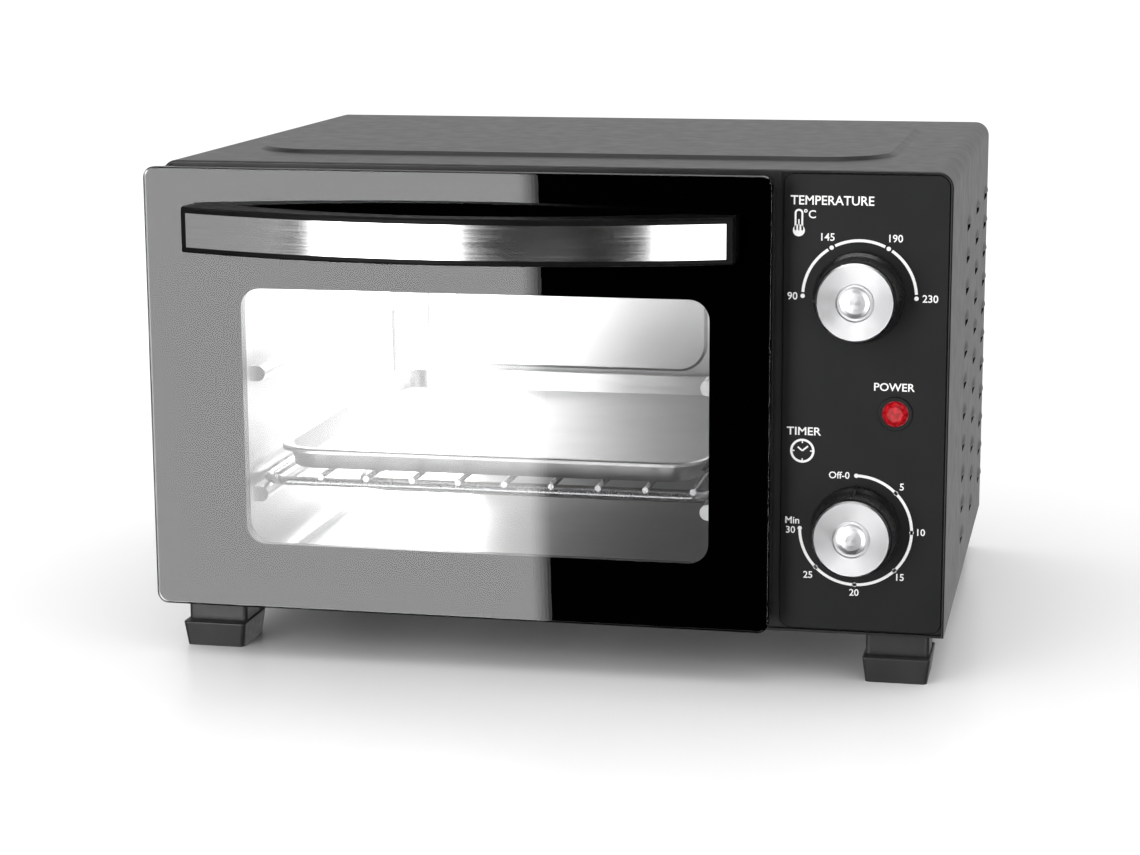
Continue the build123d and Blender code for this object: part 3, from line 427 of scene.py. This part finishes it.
def print_loop(bm, outline):
    """One flat printed shape with a little thickness, from (x, z) points in order."""
    front = [bm.verts.new(at(x, PRINT_Y - PRINT_T, z)) for x, z in outline]
    back = [bm.verts.new(at(x, PRINT_Y, z)) for x, z in outline]
    count = len(outline)
    bm.faces.new(front)
    bm.faces.new(list(reversed(back)))
    for i in range(count):
        j = (i + 1) % count
        bm.faces.new((front[i], back[i], back[j], front[j]))


def on_circle(centre, radius, degrees):
    """Point at a clockwise angle from the top, seen from ahead."""
    angle = math.radians(degrees)
    return centre[0] + radius * math.sin(angle), centre[1] + radius * math.cos(angle)


def print_arc(bm, centre, radius, half_width, start, end):
    steps = max(4, int(abs(end - start) / 3))
    angles = [start + (end - start) * i / steps for i in range(steps + 1)]
    outer = [on_circle(centre, radius + half_width, a) for a in angles]
    inner = [on_circle(centre, radius - half_width, a) for a in reversed(angles)]
    for i in range(steps):
        corners = [outer[i], outer[i + 1], inner[steps - 1 - i], inner[steps - i]]
        print_loop(bm, corners)


def print_dot(bm, centre, radius):
    print_loop(bm, [on_circle(centre, radius, a) for a in range(0, 360, 20)])


def print_text(bm, text, centre, height, width=None):
    """Printed lettering, upright on the panel, fitted to its height and, if given, its width."""
    curve = bpy.data.curves.new("lettering", "FONT")
    curve.body = text
    curve.size = 1.0
    curve.extrude = PRINT_T / 2
    curve.resolution_u = 3
    curve.offset = 0.012
    holder = bpy.data.objects.new("lettering", curve)
    data = bpy.data.meshes.new_from_object(holder)
    low = Vector([min(v.co[i] for v in data.vertices) for i in range(3)])
    high = Vector([max(v.co[i] for v in data.vertices) for i in range(3)])
    grow_z = height / (high.y - low.y)
    grow_x = width / (high.x - low.x) if width else grow_z
    for v in data.vertices:
        x = centre[0] + (v.co.x - (low.x + high.x) / 2) * grow_x
        z = centre[1] + (v.co.y - (low.y + high.y) / 2) * grow_z
        depth = PRINT_Y - (PRINT_T if v.co.z > 0 else 0)
        v.co = at(x, depth, z)
    bm.from_mesh(data)
    bpy.data.objects.remove(holder)
    bpy.data.curves.remove(curve)
    bpy.data.meshes.remove(data)


def print_thermometer(bm, x, z0, z1):
    """Small outline of a thermometer: a filled bulb below an open tube."""
    bulb_z = z0 + 2.6
    print_dot(bm, (x, bulb_z), 2.6)
    for side in (-1, 1):
        wall = x + side * 1.45
        low, high = wall - 0.4, wall + 0.4
        print_loop(bm, [(low, bulb_z), (high, bulb_z), (high, z1 - 1.8), (low, z1 - 1.8)])
    print_arc(bm, (x, z1 - 1.85), 1.45, 0.4, -90, 90)
    print_loop(bm, [(x - 0.28, bulb_z), (x + 0.28, bulb_z), (x + 0.28, z1 - 4.4), (x - 0.28, z1 - 4.4)])


def print_clock(bm, x, z, radius):
    """Small clock face: a ring, four ticks and two hands."""
    print_arc(bm, (x, z), radius, 0.5, 0, 360)
    for angle in (0, 90, 180, 270):
        tip = on_circle((x, z), radius - 0.4, angle)
        root = on_circle((x, z), radius - 1.4, angle)
        side = on_circle((0, 0), 0.28, angle + 90)
        print_loop(bm, [
            (tip[0] + side[0], tip[1] + side[1]), (root[0] + side[0], root[1] + side[1]),
            (root[0] - side[0], root[1] - side[1]), (tip[0] - side[0], tip[1] - side[1]),
        ])
    for angle, length in ((-50, 2.6), (50, 3.2)):
        tip = on_circle((x, z), length, angle)
        side = on_circle((0, 0), 0.35, angle + 90)
        print_loop(bm, [
            (tip[0] + side[0], tip[1] + side[1]), (x + side[0], z + side[1]),
            (x - side[0], z - side[1]), (tip[0] - side[0], tip[1] - side[1]),
        ])


def make_panel_prints():
    ink = screen_print("white_ink", (0.78, 0.78, 0.77), (0.9, 0.9, 0.89), (0.4, 0.55))
    temperature = (DIAL_X, TEMPERATURE_Z)
    timer = (DIAL_X, TIMER_Z)

    bm = bmesh.new()
    for start, end in ((-86, -34), (-26, 26), (34, 86)):
        print_arc(bm, temperature, SCALE_R, ARC_HALF_W, start, end)
    for angle in (-90, -30, 30, 90):
        print_dot(bm, on_circle(temperature, SCALE_R, angle), DOT_R)
    for text, centre in (
        ("90", (108.3, 148.9)), ("145", (123.2, 174.6)), ("190", (152.2, 174.5)), ("230", (167.2, 149.0)),
    ):
        print_text(bm, text, centre, 3.3)
    scales = [mesh_object("temperature_scale_print", bm, ink)]

    bm = bmesh.new()
    print_arc(bm, timer, SCALE_R, ARC_HALF_W, 2, 268)
    for angle in range(0, 271, 45):
        print_dot(bm, on_circle(timer, SCALE_R, angle), DOT_R)
    for text, centre in (
        ("Off-0", (129.6, 71.0)), ("5", (156.7, 66.8)), ("10", (165.4, 47.0)), ("15", (156.7, 26.6)),
        ("20", (136.8, 18.9)), ("25", (116.5, 26.0)), ("30", (108.7, 45.9)), ("Min", (109.4, 50.2)),
    ):
        print_text(bm, text, centre, 3.1)
    scales.append(mesh_object("timer_scale_print", bm, ink))

    bm = bmesh.new()
    print_text(bm, "TEMPERATURE", (124.9, 190.2), 4.0, 35.6)
    print_text(bm, "POWER", (152.7, 110.4), 3.5, 17.4)
    print_text(bm, "TIMER", (114.0, 89.9), 3.5, 14.9)
    print_text(bm, "C", (116.4, 184.2), 3.5)
    print_arc(bm, (113.6, 185.6), 0.55, 0.22, 0, 360)
    print_thermometer(bm, 110.7, 174.6, 186.4)
    print_clock(bm, 113.4, 81.2, 4.8)
    scales.append(mesh_object("panel_lettering_print", bm, ink))
    for piece in scales:
        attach(piece, "chassis")


# ---- closing spring ----
SPRING_R = 2.5               # radius to the middle of the wire
SPRING_WIRE_R = 0.45
SPRING_TURNS = 26
SPRING_STEPS = 14            # straight pieces in one turn
SPRING_MARGIN = 0.02         # share of the sleeve's length left free at each end


def tube(bm, points, radius, sides=8):
    """Round tube through points, closed at both ends."""
    rings = []
    side = None
    for i, point in enumerate(points):
        before = points[max(i - 1, 0)]
        after = points[min(i + 1, len(points) - 1)]
        ahead = (after - before).normalized()
        if side is None:
            side = ahead.orthogonal().normalized()
        else:
            side = (side - ahead * side.dot(ahead)).normalized()
        other = ahead.cross(side)
        ring = []
        for k in range(sides):
            angle = 2 * math.pi * k / sides
            ring.append(bm.verts.new(point + radius * (math.cos(angle) * side + math.sin(angle) * other)))
        rings.append(ring)
    for low, high in zip(rings, rings[1:]):
        for k in range(sides):
            j = (k + 1) % sides
            bm.faces.new((low[k], low[j], high[j], high[k]))
    bm.faces.new(list(reversed(rings[0])))
    bm.faces.new(rings[-1])


def make_closing_spring():
    """Coiled tension spring in the space of its CAD sleeve."""
    low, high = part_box("door_spring")
    middle = (low + high) / 2
    count = SPRING_TURNS * SPRING_STEPS
    points = []
    for i in range(count + 1):
        share = i / count
        angle = 2 * math.pi * SPRING_TURNS * share
        y = low.y + (high.y - low.y) * (SPRING_MARGIN + (1 - 2 * SPRING_MARGIN) * share)
        points.append(Vector((
            middle.x + SPRING_R * MM * math.cos(angle), y, middle.z + SPRING_R * MM * math.sin(angle),
        )))
    bm = bmesh.new()
    tube(bm, points, SPRING_WIRE_R * MM)
    spring = mesh_object("closing_spring", bm, SLOT_MATERIALS["plated_steel"], smooth=True)
    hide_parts("door_spring")
    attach(spring, "chassis")


# ---- stage ----
FLOOR_HALF = 30.0            # metres
GLOSSY_TO, MATT_FROM = 0.2, 0.9     # metres from the middle of the object


def make_floor():
    """Pale sheet under the object, a little glossy near it and matt further out."""
    bm = bmesh.new()
    bmesh.ops.create_grid(bm, x_segments=1, y_segments=1, size=FLOOR_HALF)
    shade = Shade("pale_floor", (0.9, 0.9, 0.9), rough=0.25)
    shade.colour(shade.noise(900, 2), (0.895, 0.895, 0.895), (0.905, 0.905, 0.905))
    away = shade.node("ShaderNodeVectorMath", operation="LENGTH")
    shade.link(shade.place(), away.inputs[0])
    gloss = shade.spread(away.outputs["Value"], 0.6, 0.0, GLOSSY_TO, MATT_FROM)
    shade.link(gloss, shade.shader.inputs["Specular IOR Level"])
    floor = mesh_object("floor", bm, shade.material)
    floor.visible_glossy = False


def make_lamp(name, centre, target, width, height, radiance, glossy=True):
    """Soft rectangular lamp at centre, facing target; with glossy off it shows in no reflection."""
    data = bpy.data.lights.new(name, "AREA")
    data.shape = "RECTANGLE"
    data.size, data.size_y = width * MM, height * MM
    data.energy = radiance * math.pi * data.size * data.size_y
    lamp = bpy.data.objects.new(name, data)
    facing = (at(*target) - at(*centre)).to_track_quat("-Z", "Y").to_matrix().to_4x4()
    lamp.matrix_world = Matrix.Translation(at(*centre)) @ facing
    lamp.visible_camera = lamp.visible_transmission = False
    lamp.visible_glossy = glossy
    bpy.context.scene.collection.objects.link(lamp)


def make_card(name, corners, radiance):
    """Glowing card that only shows in glossy reflections, and not in those seen through the glass."""
    bm = bmesh.new()
    bm.faces.new([bm.verts.new(at(*corner)) for corner in corners])
    material = bpy.data.materials.new(name)
    material.use_nodes = True
    tree = material.node_tree
    tree.nodes.clear()
    glow = tree.nodes.new("ShaderNodeEmission")
    glow.inputs["Strength"].default_value = radiance
    output = tree.nodes.new("ShaderNodeOutputMaterial")
    tree.links.new(glow.outputs["Emission"], output.inputs["Surface"])
    material.cycles.emission_sampling = "NONE"
    card = mesh_object(name, bm, material)
    card.visible_camera = card.visible_diffuse = card.visible_shadow = card.visible_transmission = False


def upright(x0, y0, x1, y1, z0, z1, lean=0.0):
    """Corners of an upright card between two points on the ground plan; lean moves its foot along x."""
    return [(x0 + lean, y0, z0), (x1 + lean, y1, z0), (x1, y1, z1), (x0, y0, z1)]


KEY_LEAN = 1.5               # degrees that the key card leans, foot to the right
KEY_EDGE_X = -237.0          # its right edge at mid height
KEY_W, KEY_H = 575.0, 915.0
KEY_Y, KEY_Z = -1000.0, 142.0
KEY_RADIANCE = 6.9
EDGE_STEPS = 5               # strips beside the key card, each dimmer than the one before
EDGE_STEP_W = 3.0
WORLD_STRENGTH = 1.2


def make_world():
    """Even white surroundings that light the object but show in no reflection."""
    world = bpy.data.worlds.new("studio")
    world.use_nodes = True
    background = world.node_tree.nodes["Background"]
    background.inputs["Color"].default_value = (1, 1, 1, 1)
    background.inputs["Strength"].default_value = WORLD_STRENGTH
    world.cycles_visibility.glossy = False
    world.cycles_visibility.transmission = False
    bpy.context.scene.world = world


def make_key():
    """Tall card on the left whose reflection covers the left part of the door, with a softened right edge."""
    foot = math.tan(math.radians(KEY_LEAN)) * KEY_H
    low, high = KEY_Z - KEY_H / 2, KEY_Z + KEY_H / 2
    edge = KEY_EDGE_X - foot / 2
    make_card("key", upright(edge - KEY_W, KEY_Y, edge, KEY_Y, low, high, foot), KEY_RADIANCE)
    for step in range(EDGE_STEPS):
        x = edge + step * EDGE_STEP_W
        strip = upright(x, KEY_Y, x + EDGE_STEP_W, KEY_Y, low, high, foot)
        make_card(f"key_edge_{step}", strip, KEY_RADIANCE * (1 - (step + 1) / (EDGE_STEPS + 1)))


def make_lights():
    """Studio lamps, three lamps in the cavity, and cards for the knobs, handle and enamel to reflect."""
    make_world()
    make_key()
    make_lamp("front", (-500, -1000, 300), (-60, 0, 100), 700, 900, 3.0, glossy=False)
    make_lamp("inside_front", (-128, 60, 115), (20, 220, 70), 80, 130, 9.0)
    make_lamp("inside_back", (-118, 244, 98), (-140, 50, 85), 40, 160, 17.0)
    make_lamp("inside_low", (-130, 60, 34), (0, 200, 20), 90, 26, 6.0)
    make_card("card_far_left", upright(-975, -1000, -1300, -400, -500, 700), 0.4)
    make_card("card_right", upright(515, -1145, 825, -973, -500, 700), 4.0)
    make_card("card_low", upright(0, -1000, 180, -1000, -340, 10), 0.65)
    make_card("card_back", upright(-1600, 1500, 1900, 1500, -1000, 1500), 0.6)
    make_lamp("overhead", (0, 100, 1500), (0, 134, 200), 1400, 1400, 1.0)
    make_card("overhead_bar", [(-900, 60, 1500), (700, 60, 1500), (700, 240, 1500), (-900, 240, 1500)], 9.0)


make_camera()
dress_cad_nodes()
make_panel_prints()
make_closing_spring()
make_floor()
make_lights()
bpy.context.scene.view_settings.view_transform = "Standard"
